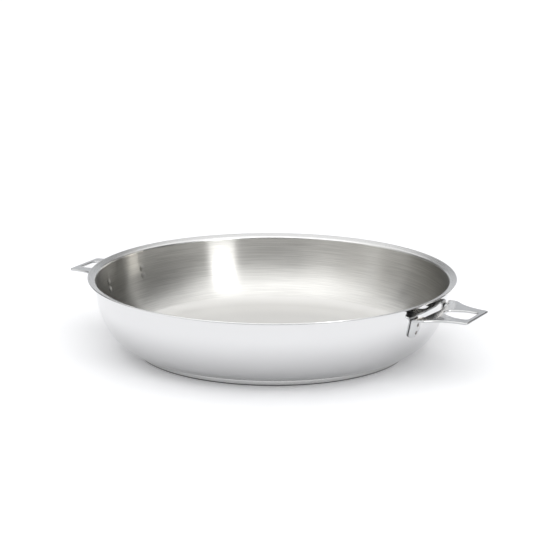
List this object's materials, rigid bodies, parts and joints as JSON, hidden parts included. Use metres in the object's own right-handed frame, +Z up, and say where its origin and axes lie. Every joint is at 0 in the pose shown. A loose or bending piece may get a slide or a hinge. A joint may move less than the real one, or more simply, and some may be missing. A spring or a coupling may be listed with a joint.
{
  "type": "frying pan",
  "caption": "Wide stainless steel frying pan with upright walls, a flared pouring lip, a sealed disc base and a slotted sheet bracket on each side for a clip-on handle.",
  "frame": {"origin": "centre of the base's underside, on the surface that the pan stands on", "axes": "+X towards the right bracket, +Y across the pan, +Z up"},
  "size_m": [0.3878, 0.32, 0.065],
  "materials": {
    "shell_steel": "polished outside, brushed inside",
    "cap_steel": "satin",
    "core_aluminium": "as rolled",
    "bracket_steel": "satin",
    "weld_steel": "as welded"
  },
  "bodies": {
    "root": {"pan_body": "shell_steel", "base_cap": "cap_steel", "base_core": "core_aluminium", "bracket_right": "bracket_steel", "bracket_left": "bracket_steel", "weld_right_front_upper": "weld_steel", "weld_right_front_lower": "weld_steel", "weld_right_rear_upper": "weld_steel", "weld_right_rear_lower": "weld_steel", "weld_left_front_upper": "weld_steel", "weld_left_front_lower": "weld_steel", "weld_left_rear_upper": "weld_steel", "weld_left_rear_lower": "weld_steel"}
  },
  "joints": []
}
